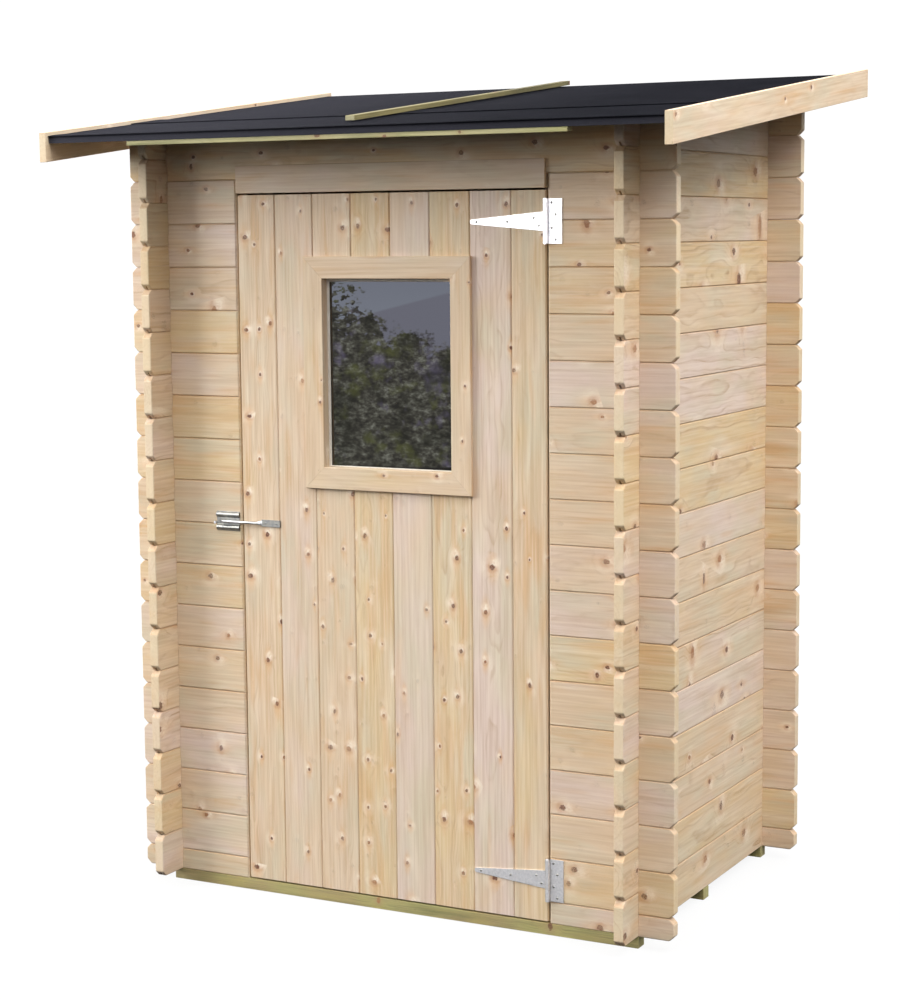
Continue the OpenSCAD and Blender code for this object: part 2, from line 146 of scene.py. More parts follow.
class ShedRoofSettings(bpy.types.PropertyGroup):
    """Sizes and colours of the roof boards and the roofing felt."""

    # The roof boards' colours are dark as painted shade for their underside under the eaves
    board: colour_setting("Roof board", "the roof boards, darkened as painted shade", "#4A3E33")
    board_dark: colour_setting("Roof board shade", "the roof boards' dark grain", "#2E261F")
    felt: colour_setting("Felt", "the slate granules", "#090A0E")
    # The pale granules' colour also carries the painted sheen on the left of the roof
    felt_light: colour_setting("Pale granules", "the paler granules and the painted sheen", "#2A2A30")
    # The eave strip's colours are paler than the felt's as painted light: its front gets less light from above than the
    # sheets' top
    strip: colour_setting("Eave strip", "the smoother strip folded over the eave", "#34343B")
    strip_light: colour_setting("Pale eave strip", "that strip's paler granules and painted sheen", "#45454D")
    thickness: length_setting("Thickness", "Thickness of one felt sheet", 2.5, 1, 5)
    wave: length_setting("Wave", "Height of the waves in the laid felt", 0.9, 0, 3)
    lip: length_setting("Lip", "How far the lower sheet stands past the fold at the eave", 4, 0, 10)
    grain: length_setting("Granules", "Width of a drawn clump of granules", 5, 1, 20)


class ShedFittingSettings(bpy.types.PropertyGroup):
    """Sizes and colours of the hinges, latch, screws and glazing."""

    zinc: colour_setting("Zinc", "the zinc plating", "#DCDCDE")
    zinc_dull: colour_setting("Dull zinc", "the duller patches of the plating", "#BFC1C5")
    screw_zinc: colour_setting("Screw zinc", "the screws' plating", "#6E7074")
    worn: colour_setting("Worn zinc", "the handled steel of the latch", "#8B8B85")
    glass: colour_setting("Glass", "the dark inside seen through the pane", "#14130F")
    tape: colour_setting("Glazing tape", "the tape that beds the pane", "#E6E0D6")
    tape_dull: colour_setting("Dull tape", "the tape where it was pressed", "#CFC7BA")
    bead: length_setting("Glazing bead", "Width of the glazing tape in sight", 8, 1, 10)
    screw: length_setting("Screw head", "Diameter of a screw head", 6.5, 3, 12)
    press: length_setting("Pressed edge", "Rounding of the pressed steel's edges", 0.4, 0.1, 1)


class ShedStudioSettings(bpy.types.PropertyGroup):
    """The floor, lights and camera."""

    floor: colour_setting("Floor", "the pale floor", "#FFFFFF")
    floor_radius: length_setting("Floor radius", "Radius of the round floor", 12000, 3000, 30000)
    key_power: number_setting("Key light", "Power of the soft key light", 290, min=0, unit="POWER")
    fill_power: number_setting("Fill light", "Power of the soft fill light", 260, min=0, unit="POWER")
    panel: length_setting("Panel", "Side of a light's square panel", 2700, 200, 8000)
    away: length_setting("Panel distance", "From a light's panel to the shed's middle", 7000, 3000, 20000)
    horizon: number_setting("Horizon", "Strength of the dome at the horizon", 0.14, min=0)
    zenith: number_setting("Zenith", "Strength of the dome overhead", 2.8, min=0)
    garden: number_setting("Garden", "Strength of the garden that shiny surfaces mirror", 12.0, min=0)
    lens: number_setting("Lens", "Focal length on a 36 mm sensor", 78.82, min=10, unit="CAMERA")
    turn: number_setting("Turn", "Camera's turn to the shed's right", math.radians(27.716), subtype="ANGLE")
    tilt: number_setting("Tilt", "Camera's tilt below level", math.radians(6.909), subtype="ANGLE")
    roll: number_setting("Roll", "Camera's roll", math.radians(-0.491), subtype="ANGLE")
    stand: bpy.props.FloatVectorProperty(name="Stand", description="Where the camera stands", subtype="TRANSLATION",
                                         unit="LENGTH", default=(2.879, -5.6171, 1.8571))


def fill(tree, made, sockets):
    """Sets a node's inputs, by place or name, to values or links."""
    for key, value in sockets.items():
        if isinstance(value, bpy.types.NodeSocket):
            tree.links.new(value, made.inputs[key])
        elif value is not None:
            made.inputs[key].default_value = value


def node(tree, kind, *inputs, out=0, named=None, **settings):
    """Adds a node with its settings and its inputs, and gives the output asked for. kind is the node's type, such as
    TexNoise, with its operation after a space if it has one."""
    kind, *operation = kind.split()
    made = tree.nodes.new("ShaderNode" + kind)
    if operation:
        made.operation = operation[0]
    for key, value in settings.items():
        setattr(made, key, value)
    fill(tree, made, {**dict(enumerate(inputs)), **(named or {})})
    return made.outputs[out] if made.outputs else None


def ramp(socket, *stops):
    """Sets the stops of a colour ramp, each (position, linear colour)."""
    bands = socket.node.color_ramp
    while len(bands.elements) < len(stops):
        bands.elements.new(0.5)
    for element, (position, rgba) in zip(bands.elements, stops):
        element.position, element.color = position, rgba
    return socket


def blank_material(name):
    """An empty material, with what adds a node to it and what fills its shader."""
    material = bpy.data.materials.new(name)
    material.use_nodes = True
    tree = material.node_tree
    return material, partial(node, tree), partial(fill, tree, tree.nodes["Principled BSDF"])


def spruce_look(timber, **changes):
    """What the planed spruce pieces share, with a finish's changes. A share or depth of 1 shows a thing in full."""
    own = ("sage", "late", "resin", "knot", "knot_live", "knot_rim", "halo", "end_grain", "ring")
    shared = dict(
        tones=[(0.0, timber.rose), (0.4, timber.cream), (0.6, timber.cream), (1.0, timber.gold)],
        knot_cell=(0.2, 0.08),  # length and width of the patch of a board that holds at most one knot
        knots=0.72,  # share of those patches that hold one on the knottiest board
        knot_r=(3.2 * MM, 7.5 * MM), spike=0.5, stain=0.4, halo_share=0.8,
        swirl=0.018, wander=0.05,  # how far the rings bend round a knot, and by themselves
        ring_depth=0.5, fibre_depth=0.26, sage_share=0.8, resin_share=0.5, blotch=0.2, dust=0.0, end_share=0.7,
        rough=(0.55, 0.7), relief=0.35 * MM)
    return SimpleNamespace(**{**{key: getattr(timber, key) for key in own}, **shared, **changes})


def timber_material(name, timber, **changes):
    """Solid timber: growth rings round a pith line, knots, fibres and colour patches, laid along each board."""
    look = spruce_look(timber, **changes)
    material, add, finish = blank_material(name)
    place, seed = (add("Attribute", out="Vector", attribute_name=key) for key in ("place", "seed"))
    end_face, ledge = (add("Attribute", out="Fac", attribute_name=key) for key in ("end_face", "ledge"))
    spot = add("SeparateXYZ", place).node.outputs
    number, shade, knotty = add("SeparateXYZ", seed).node.outputs
    chance = add("TexWhiteNoise", out="Color", noise_dimensions="1D", named={"W": number})
    luck = add("SeparateXYZ", chance).node.outputs
    # Each board shows its own part, up to 40 m away, of one endless pattern
    moved = add("VectorMath MULTIPLY_ADD", chance, (40, 40, 40), place)

    # Slow patches are about 280 mm long and 100 mm wide, flames 250 by 37 mm, streaks 180 by 18 mm, fibres 250 by
    # 6 mm (a real fibre is too fine to show), and the bites in a knot's edge 8 mm.
    noises = {}
    for key, scales, detail in (("patch", (3.6, 10, 10), 2.0), ("flame", (4.0, 27, 27), 1.5),
                                ("streak", (5.5, 55, 55), 3.0), ("fibre", (4.0, 160, 160), 3.0),
                                ("ragged", (110, 150, 0), 1.0)):
        noises[key] = add("TexNoise", out="Color", named={
            "Vector": add("VectorMath MULTIPLY", moved, scales), "Scale": 1.0, "Detail": detail, "Roughness": 0.55})
    patch, flame, streak, ragged = (
        add("SeparateXYZ", noises[key]).node.outputs for key in ("patch", "flame", "streak", "ragged"))
    fibre = noises["fibre"].node.outputs[0]

    # Knots: at most one in each cell, a ragged oval where a branch comes through the board; a sawn end shows none.
    long, wide = look.knot_cell
    cells = add("VectorMath MULTIPLY", moved, (1 / long, 1 / wide, 0))
    nearest = add("TexVoronoi", voronoi_dimensions="2D", named={
        "Vector": cells, "Scale": 1.0, "Randomness": 0.9}).node.outputs
    draw = add("SeparateXYZ", nearest["Color"]).node.outputs
    likely = add("MapRange", knotty, 0.0, 1.0, 1.02, 1 - look.knots)
    there = add("Math GREATER_THAN", draw[0], likely)
    there = add("Math SUBTRACT", there, end_face, use_clamp=True)
    radius = add("MapRange", draw[0], likely, 1.0, *look.knot_r)
    radius = add("Math MULTIPLY_ADD", radius, there, 0.01 * MM)
    spike = add("MapRange", draw[1], 0.7, 0.95, wide, wide * look.spike)
    reach = add("VectorMath SUBTRACT", cells, nearest["Position"])
    reach = add("VectorMath MULTIPLY", reach, add("CombineXYZ", long * 0.8, spike))
    reach = add("VectorMath SCALE", reach, named={"Scale": add("Math DIVIDE", 1.0, radius)})
    bites = add("VectorMath MULTIPLY_ADD", noises["ragged"], (1.0, 1.0, 0), (-0.5, -0.5, 0))
    reach = add("VectorMath ADD", reach, bites)
    # What lies round a knot fades with the distance in knot radii: from its middle, beside it, or drawn out along it
    away = add("VectorMath LENGTH", reach, out=1)
    lean = add("VectorMath MULTIPLY_ADD", nearest["Color"], (3.4, 3.0, 0), (-1.7, -1.5, 0))
    beside = add("VectorMath DISTANCE", reach, lean, out=1)
    drawn = add("VectorMath LENGTH", add("VectorMath MULTIPLY", reach, (0.28, 0.75, 0)), out=1)
    core, rim, bloom, swirl, halo, stain = (
        add("MapRange", distance, full, gone, most, 0.0, **SMOOTH) for distance, full, gone, most in (
            (away, 0.75, 1.15, 1.0), (away, 0.9, 3.0, 0.6), (away, 1.5, 6.5, 0.6), (away, 1.0, 6.0, look.swirl),
            (beside, 0.4, 2.9, look.halo_share), (drawn, 0.5, 2.4, look.stain)))
    bloom = add("Math MULTIPLY", bloom, add("MapRange", flame[1], 0.4, 0.6, 0.0, 1.0))
    halo = add("Math MULTIPLY", halo, add("MapRange", ragged[2], 0.35, 0.6, 0.55, 1.1), use_clamp=True)

    # Growth rings: the distance from a pith line behind the face, bent by slow noise and round the knots.
    from_y = add("Math SUBTRACT", spot[1], add("MapRange", luck[0], 0.0, 1.0, -0.05, 0.05))
    from_z = add("Math SUBTRACT", spot[2], add("MapRange", luck[1], 0.0, 1.0, -0.02, -0.09))
    bent = add("VectorMath LENGTH", add("CombineXYZ", from_y, from_z), out=1)
    taper = add("MapRange", luck[2], 0.0, 1.0, -0.025, 0.025)
    for value, share in ((spot[0], taper), (patch[0], look.wander), (streak[1], 6 * MM), (swirl, 1.0)):
        bent = add("Math MULTIPLY_ADD", value, share, bent)
    rings = add("Math DIVIDE", bent, look.ring)
    late = ramp(add("ValToRGB", add("Math FRACT", rings)),
                (0.0, (0, 0, 0, 1)), (0.5, (0.1, 0.1, 0.1, 1)), (0.86, (1, 1, 1, 1)), (1.0, (0, 0, 0, 1)))
    # Each ring has its own strength, less on boards with few knots and in places along the board
    count = add("Math MULTIPLY_ADD", number, 91.0, add("Math FLOOR", rings))
    strong = add("TexWhiteNoise", noise_dimensions="1D", named={"W": count})
    for share in (add("Math POWER", strong, 1.6), add("MapRange", knotty, 0.2, 1.0, 0.45, 1.1),
                  add("MapRange", streak[2], 0.38, 0.62, 0.3, 1.0)):
        late = add("Math MULTIPLY", late, share)

    # Colour: the board's own tone, then layer on layer of patches, flames, rings, fibres, knots, sawn ends and painted
    # shade on the faces that lean upwards.
    tone = add("Math ADD", add("MapRange", patch[1], 0.3, 0.7, -0.28, 0.28), shade)
    wood = ramp(add("ValToRGB", tone), *look.tones)
    sticky = add("Math MULTIPLY_ADD", shade, 0.16, flame[0])
    sticky = add("Math MULTIPLY_ADD", streak[1], 0.14, sticky)
    sawn = add("MapRange", luck[2], 0.0, 1.0, 0.4 * look.end_share, look.end_share)
    # Painted shade: the faces that lean upwards darken towards the late wood's colour, more in some streaks
    dust = add("MapRange", streak[0], 0.35, 0.65, 0.6 * look.dust, look.dust)
    heart = add("Mix", named={
        SHARE: add("MapRange", draw[2], 0.55, 0.85, 0.0, 1.0), UNDER: look.knot, OVER: look.knot_live}, **COLOURS)
    for share, colour in (
            (add("MapRange", patch[2], 0.46, 0.66, 0.0, look.sage_share), look.sage),
            (add("MapRange", sticky, 0.7, 0.86, 0.0, look.resin_share), look.resin),
            (add("MapRange", flame[1], 0.5, 0.75, 0.0, 0.32), look.halo),
            (add("MapRange", flame[2], 0.5, 0.75, 0.0, look.blotch), look.late),
            (add("Math MULTIPLY", late, look.ring_depth), look.late),
            (add("MapRange", fibre, 0.48, 0.7, 0.0, look.fibre_depth), look.late),
            (add("MapRange", fibre, 0.48, 0.25, 0.0, look.fibre_depth), look.halo),
            (bloom, look.halo), (stain, look.resin), (rim, look.knot_rim), (halo, look.halo), (core, heart),
            (add("Math MULTIPLY", end_face, sawn), look.end_grain), (add("Math MULTIPLY", ledge, dust), look.late)):
        wood = add("Mix", named={SHARE: share, UNDER: wood, OVER: colour}, **COLOURS)

    relief = add("Math MULTIPLY_ADD", late, 0.7, fibre)
    relief = add("Math MULTIPLY_ADD", core, -0.1, relief)
    finish({"Base Color": wood, "Roughness": add("MapRange", fibre, 0.3, 0.7, *look.rough), "IOR": 1.5,
            "Normal": add("Bump", named={"Strength": 0.5, "Distance": look.relief, "Height": relief})})
    return material


def make_materials(scene):
    """Every finish on the shed, by the name it has in a workshop."""
    timber, treated, roof, fittings = scene.shed_timber, scene.shed_treated, scene.shed_roof, scene.shed_fittings
    made = {}
    # Planed spruce logs: soft satin, clear rings, a small knot every hand or two, straight off the planer.
    # The bevels that face up are darkened: painted shade against the light from above.
    made["logs"] = timber_material("planed spruce logs", timber, dust=0.6)
    # The side walls' logs come from knottier stems: fewer but larger knots, sawn through as ovals and spikes.
    made["side_logs"] = timber_material(
        "planed knotty spruce logs", timber, knot_cell=(0.28, 0.10), knot_r=(4.5 * MM, 12 * MM), spike=0.3,
        swirl=0.025, ring_depth=1.1, ring=11 * MM, halo_share=0.7, resin_share=0.35, dust=0.6)
    # Planed door boards: narrow boards, so smaller knots and straighter grain.
    made["door"] = timber_material(
        "planed spruce boards", timber, knot_cell=(0.12, 0.062), knots=0.8, knot_r=(2.6 * MM, 6.0 * MM),
        halo_share=1.0, stain=0.55, ring=7 * MM, wander=0.055, ring_depth=0.65, fibre_depth=0.34, swirl=0.012)
    # Planed trim: selected pale laths whose knots are small.
    made["trim"] = timber_material(
        "planed spruce trim", timber, knot_cell=(0.15, 0.05), knots=0.8, knot_r=(2.0 * MM, 4.0 * MM), ring=7 * MM,
        wander=0.02, sage_share=0.4, end_share=0.45)
    # Sawn floor boards: rougher and greyer than the planed ones.
    made["boards"] = timber_material(
        "sawn spruce boards", timber, rough=(0.7, 0.85), relief=0.8 * MM, sage_share=1.0, fibre_depth=0.4)
    # Roof boards: sawn spruce given a dark brown that dulls the grain; the dark is painted shade for the boards'
    # underside under the eaves.
    made["roof_boards"] = timber_material(
        "spruce roof boards darkened as painted shade", timber, tones=[(0.0, roof.board), (0.5, roof.board), (1.0, roof.board_dark)],
        sage=roof.board, late=roof.board_dark, resin=roof.board_dark, halo=roof.board, knot_rim=roof.board_dark,
        end_grain=roof.board, rough=(0.75, 0.9), relief=0.8 * MM)
    # Pressure-treated pine: copper salts leave it green in the sapwood and brown in the heart.
    pine = dict(late=treated.dark, resin=treated.brown, knot_rim=treated.brown, end_grain=treated.straw,
                knot_cell=(0.25, 0.05), knots=0.5, ring=6 * MM, ring_depth=0.7, fibre_depth=0.5, rough=(0.65, 0.8),
                halo_share=0.3, relief=0.6 * MM, end_share=0.5, blotch=0.8)
    made["treated"] = timber_material(
        "pressure-treated pine laths", timber, sage=treated.green, halo=treated.straw,
        tones=[(0.0, treated.straw), (0.5, treated.straw), (1.0, treated.green)], **pine)
    # Bearers: thicker, so less of the salts and more of the pine's own yellow and brown.
    made["bearers"] = timber_material(
        "pressure-treated pine bearers", timber, sage=treated.green, halo=treated.yellow,
        tones=[(0.0, treated.brown), (0.4, treated.yellow), (1.0, treated.yellow)], **pine)
    # The lath on the roof takes a darker copy of the treated pine: painted shade, so that its side reads dark while its
    # lit top stays pale. It is dull and patchy, with a paler sawn end.
    pine.update(late=treated.shaded_lath_grain, resin=treated.shaded_lath_grain, knot_rim=treated.shaded_lath_grain,
                end_grain=treated.shaded_lath_end, end_share=1.0)
    made["shaded_lath"] = timber_material(
        "pressure-treated pine darkened as painted shade", timber, sage=treated.shaded_lath_grain, halo=treated.shaded_lath,
        tones=[(0.0, treated.shaded_lath), (0.5, treated.shaded_lath), (1.0, treated.shaded_lath_grain)], **pine)
    made["felt"] = felt_material("bitumen roofing felt", roof.grain, roof.felt, roof.felt_light)
    # The eave strip is paler than the sheets as painted light, so that its front looks as light as the top
    made["strip"] = felt_material("bitumen eave strip paled as painted light", roof.grain, roof.strip, roof.strip_light)
    # Zinc-plated steel: bright and a little milky, with faint dull patches, about 8 mm across, where the bath left
    # crystals. The latch is duller, and the screws and what hands touch are dullest.
    for key, name, bright, dull in (
            ("zinc", "zinc-plated steel", fittings.zinc, fittings.zinc_dull),
            ("screws", "dull zinc-plated screw steel", fittings.worn, fittings.screw_zinc),
            ("worn", "worn zinc-plated steel", fittings.worn, fittings.screw_zinc),
            ("latch", "dull zinc-plated steel", fittings.zinc_dull, fittings.worn)):
        made[key] = even_material(name, {"Scale": 120.0, "Detail": 3.0, "Roughness": 0.6}, (0.15, 0.1 * MM),
                                  {"Metallic": 1.0}, (0.4, 0.65, 0.0, 0.8), (bright, dull), (0.3, 0.7, 0.34, 0.46))
    # Butyl glazing tape: soft, pale and matt, a little uneven where thumbs pressed it in, about 15 mm apart.
    made["tape"] = even_material("butyl glazing tape", {"Scale": 65.0, "Detail": 2.0}, (0.4, 0.3 * MM),
                                 {"Roughness": 0.7, "IOR": 1.5}, (0.35, 0.65, 0.0, 0.5),
                                 (fittings.tape, fittings.tape_dull))
    # Float glass before a closed, dark inside: so little light comes back through it that it is given that dark
    # colour, and what shows is the mirror of its two flat faces. It bows over about 300 mm, as a cheap pane does.
    made["glass"] = even_material("float glass", {"Scale": 3.5, "Detail": 0.0}, (0.05, 0.5 * MM), {
        "Base Color": fittings.glass, "Roughness": 0.0, "IOR": 1.52, "Specular IOR Level": 0.9})
    return made


def felt_material(name, clump, dark, pale):
    """Bitumen roofing felt: a matt slate of crushed stone pressed into bitumen, a little patchy."""
    material, add, finish = blank_material(name)
    place = add("TexCoord", out="Object")
    # Real granules are 1 mm; they are drawn in clumps so that they show.
    grit = add("TexNoise", named={"Vector": place, "Scale": 1 / clump, "Detail": 4.0, "Roughness": 0.75})
    cloud = add("TexNoise", named={"Vector": place, "Scale": 6.0, "Detail": 3.0, "Roughness": 0.6})
    share = add("MapRange", grit, 0.5, 0.8, 0.0, 0.45)
    patch = add("MapRange", cloud, 0.4, 0.7, 0.0, 0.2)
    # Painted sheen: the left half is paler, standing in for the sheen the roof shows there
    painted_sheen = add("MapRange", add("SeparateXYZ", place), -0.9, 0.45, 0.66, 0.0)
    for more in (patch, painted_sheen):
        share = add("Math ADD", share, more, use_clamp=True)
    finish({"Base Color": add("Mix", named={SHARE: share, UNDER: dark, OVER: pale}, **COLOURS),
            "Roughness": add("MapRange", cloud, 0.3, 0.7, 0.7, 0.85), "IOR": 1.45, "Specular IOR Level": 0.006,
            "Normal": add("Bump", named={"Strength": 0.7, "Distance": 0.8 * MM, "Height": grit})})
    return material


def even_material(name, noise, bump, sockets, patches=None, colours=None, rough=None):
    """A smooth finish that follows one noise: its bump, as strength and depth, and where they are given, the patches
    of its two colours and its roughness, each as a range of the noise and what that range becomes."""
    material, add, finish = blank_material(name)
    unevenness = add("TexNoise", named={"Vector": add("TexCoord", out="Object"), **noise})
    if patches:
        share = add("MapRange", unevenness, *patches)
        finish({"Base Color": add("Mix", named={SHARE: share, UNDER: colours[0], OVER: colours[1]}, **COLOURS)})
    if rough:
        finish({"Roughness": add("MapRange", unevenness, *rough)})
    strength, depth = bump
    finish({"Normal": add("Bump", named={"Strength": strength, "Distance": depth, "Height": unevenness}), **sockets})
    return material


def islands(bm):
    """The separate solids in a mesh, each as a list of vertices."""
    left, found = set(bm.verts), []
    while left:
        group, todo = [], [left.pop()]
        while todo:
            vertex = todo.pop()
            group.append(vertex)
            for edge in vertex.link_edges:
                other = edge.other_vert(vertex)
                if other in left:
                    left.remove(other)
                    todo.append(other)
        found.append(group)
    found.sort(key=lambda group: tuple(round(min(v.co[i] for v in group), 4) for i in (Z, X, Y)))
    return found


def spread(points):
    """The lowest and highest corner of some points."""
    return (Vector([min(p[i] for p in points) for i in (X, Y, Z)]),
            Vector([max(p[i] for p in points) for i in (X, Y, Z)]))


def is_sharp(edge, above):
    """Whether the two faces at an edge turn by more than some degrees."""
    return len(edge.link_faces) == 2 and edge.calc_face_angle(0) > math.radians(above)


def finish_piece(name, bm, node_names, body, slot, look, smooth_below=28):
    """Turns the mesh into a piece that stands for the named solids and moves with its body."""
    for face in bm.faces:
        face.smooth = True
    for edge in bm.edges:
        edge.smooth = len(edge.link_faces) == 2 and edge.calc_face_angle(0) < math.radians(smooth_below)
    mesh = bpy.data.meshes.new(name)
    bm.to_mesh(mesh)
    bm.free()
    mesh.materials.append(LOOKS[look])
    piece = bpy.data.objects.new(name, mesh)
    bpy.context.scene.collection.objects.link(piece)
    # The flat faces stay flat beside their rounded edges
    shading = piece.modifiers.new("flat_faces", "WEIGHTED_NORMAL")
    shading.keep_sharp = True
    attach(piece, body)
    if node_names:
        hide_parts(*node_names)
    if slot not in RECORD_SLOTS:
        raise RuntimeError(f"the record has no slot {slot}")
    return piece


def solid_copy(node_name):
    """The node's shape as a clean mesh with whole flat faces."""
    bm = bmesh.new()
    bm.from_mesh(frame["nodes"][node_name].data)
    bmesh.ops.remove_doubles(bm, verts=bm.verts, dist=0.01 * MM)
    bmesh.ops.dissolve_limit(bm, angle_limit=math.radians(1), verts=bm.verts, edges=bm.edges)
    return bm


def round_edges(bm, verts, width, segments, above=25, only_along=None):
    """Rounds the sharp edges of one solid, or only those along one axis."""
    edges = [e for e in {e for v in verts for e in v.link_edges} if is_sharp(e, above)]
    if only_along is not None:
        edges = [e for e in edges if abs((e.verts[0].co - e.verts[1].co).normalized()[only_along]) > 0.95]
    if edges:
        bmesh.ops.bevel(bm, geom=edges, offset=width, offset_type="OFFSET", segments=segments, profile=0.5,
                        affect="EDGES", clamp_overlap=True)


def worked(bm, width, grooves):
    """The mesh with its weighted edges rounded and the grooves' boxes, each a low and a high corner, cut out."""
    cutters = bmesh.new()
    for low, high in grooves:
        box = bmesh.ops.create_cube(cutters, size=1)["verts"]
        bmesh.ops.scale(cutters, vec=high - low, verts=box)
        bmesh.ops.translate(cutters, vec=(low + high) / 2, verts=box)
    held = []
    for name, shape in (("work", bm), ("cutters", cutters)):
        mesh = bpy.data.meshes.new(name)
        shape.to_mesh(mesh)
        shape.free()
        held.append(bpy.data.objects.new(name, mesh))
        bpy.context.scene.collection.objects.link(held[-1])
    bevel = held[0].modifiers.new("edges", "BEVEL")
    bevel.limit_method, bevel.offset_type, bevel.width, bevel.segments = "WEIGHT", "OFFSET", width, 4
    if grooves:
        cut = held[0].modifiers.new("grooves", "BOOLEAN")
        cut.operation, cut.solver, cut.object = "DIFFERENCE", "EXACT", held[1]
    done = bmesh.new()
    done.from_mesh(held[0].evaluated_get(bpy.context.evaluated_depsgraph_get()).to_mesh())
    for item in held:
        mesh = item.data
        bpy.data.objects.remove(item)
        bpy.data.meshes.remove(mesh)
    return done


def log_piece(node_name, look, along, free_ends, timber):
    """One wall of logs. Its free ends, -1 or 1 along the logs, are rounded more and show the grooves under the logs."""
    end_zone, mouth, past = 20 * MM, 38 * MM, 5 * MM  # what counts as a log's end, and a groove's reach in and out
    bm = solid_copy(node_name)
    weights = bm.edges.layers.float.new("bevel_weight_edge")
    across = Y if along == X else X
    grooves = []
    for group in islands(bm):
        low, high = spread([v.co for v in group])
        ends = [(high if side > 0 else low)[along] for side in free_ends]
        for edge in {e for v in group for e in v.link_edges}:
            if is_sharp(edge, 25):
                at_end = all(any(abs(v.co[along] - end) < end_zone for end in ends) for v in edge.verts)
                edge[weights] = 1.0 if at_end else timber.arris / timber.end_round
        if high.z - low.z > 2 * timber.groove_deep:
            middle, half = (low[across] + high[across]) / 2, timber.groove_wide / 2
            for side, end in zip(free_ends, ends):
                a, b = low.copy(), low.copy()
                a[across], b[across] = middle - half, middle + half
                a[along], b[along] = sorted((end + side * past, end - side * mouth))
                a.z, b.z = low.z - 2 * MM, low.z + timber.groove_deep
                grooves.append((a, b))
    bm = worked(bm, timber.end_round, grooves)
    return lay_grain(node_name + "_logs", bm, [node_name], "shed", "log_timber", look, along, Z)


def board_piece(name, node_names, body, slot, look, along, across, arris=1.2, segments=2, mitred=False, **grain):
    """Timber made of one or more boards, their arrises rounded by some millimetres; mitred ends stay sharp."""
    bm = bmesh.new()
    for node_name in node_names:
        part = solid_copy(node_name)
        for group in islands(part):
            round_edges(part, group, arris * MM, segments, only_along=along if mitred else None)
        hold = bpy.data.meshes.new("hold")
        part.to_mesh(hold)
        part.free()
        bm.from_mesh(hold)
        bpy.data.meshes.remove(hold)
    return lay_grain(name, bm, node_names, body, slot, look, along, across, **grain)


def lay_grain(name, bm, node_names, body, slot, look, along, across, tones=None, share=False, slope=0.0,
              along_dir=None):
    """Gives each board its own grain. along and across are the axes of the grain and of the board's width. tones go
    to the boards in order. Boards in line with each other share one tree when share is set. slope leans the grain
    with the roof, and along_dir, in X and Z, turns it."""
    place, seed = (bm.verts.layers.float_vector.new(key) for key in ("place", "seed"))
    ends, ledges = (bm.faces.layers.float.new(key) for key in ("end_face", "ledge"))
    axis = Vector([float(i == along) for i in (X, Y, Z)])
    turned = Matrix.Identity(3)
    if along_dir is not None:
        axis = Vector((along_dir[0], 0, along_dir[1])).normalized()
        turned = Matrix((axis, (0, 1, 0), (-axis.z, 0, axis.x)))
    elif slope:
        axis = Vector((0, 1, slope)).normalized()
    through = X + Y + Z - along - across
    draw = random.Random(name)
    trees = {}
    for number, group in enumerate(islands(bm)):
        spots = [turned @ Vector((v.co.x, v.co.y, v.co.z - slope * v.co.y)) for v in group]
        low, high = spread(spots)
        middle = (low + high) / 2
        key = round(middle[across], 2) if share else number
        if key not in trees:
            tone = draw.random()
            own, knotty = draw.random(), draw.uniform(0.25, 1.0)
            if tones is not None:
                tone = tones[(len(trees) if share else number) % len(tones)]
            trees[key] = Vector((own, tone, knotty))
        if share:
            middle[along] = 0.0
        for v, spot in zip(group, spots):
            v[place] = Vector([(spot - middle)[i] for i in (along, across, through)])
            v[seed] = trees[key]
    for face in bm.faces:
        face.normal_update()
        face[ends] = float(abs(face.normal.dot(axis)) > 0.8)
        # Faces that lean upwards, which the logs' finish darkens as painted shade
        face[ledges] = float(0.3 < face.normal.z < 0.95)
    return finish_piece(name, bm, node_names, body, slot, look)


class SHED_OT_finishes(bpy.types.Operator):
    """Makes every material of the shed"""

    bl_idname = "shed.finishes"
    bl_label = "Finishes"

    def execute(self, context):
        LOOKS.update(make_materials(context.scene))
        return {"FINISHED"}


class SHED_OT_logs(bpy.types.Operator):
    """Builds the log walls with rounded arrises and their own grain in each log"""

    bl_idname = "shed.logs"
    bl_label = "Log walls"

    def execute(self, context):
        for wall, look, along, free_ends in (
                ("front_wall_left", "logs", X, (-1,)), ("front_wall_right", "logs", X, (1,)),
                ("front_wall_top", "logs", X, (-1, 1)), ("back_wall", "logs", X, (-1, 1)),
                ("side_wall_left", "side_logs", Y, (-1, 1)), ("side_wall_right", "side_logs", Y, (-1, 1))):
            log_piece(wall, look, along, free_ends, context.scene.shed_timber)
        return {"FINISHED"}


class SHED_OT_base(bpy.types.Operator):
    """Builds the treated bearers and the floor boards"""

    bl_idname = "shed.base"
    bl_label = "Bearers and floor"

    def execute(self, context):
        board_piece("bearers", ["bearer_front", "bearer_middle", "bearer_back"], "shed", "treated_timber",
                    "bearers", X, Z, arris=1.5)
        board_piece("floor_boards", ["floor_deck"], "shed", "floor_timber", "boards", Y, X, arris=1)
        return {"FINISHED"}


class SHED_OT_door_frame(bpy.types.Operator):
    """Builds the door posts and the board over the door"""

    bl_idname = "shed.door_frame"
    bl_label = "Door posts and head board"

    def execute(self, context):
        board_piece("door_posts", ["door_post_left", "door_post_right"], "shed", "planed_timber", "trim", Z, X)
        board_piece("door_head", ["door_head_board"], "shed", "planed_timber", "logs", X, Z, tones=[0.35])
        return {"FINISHED"}


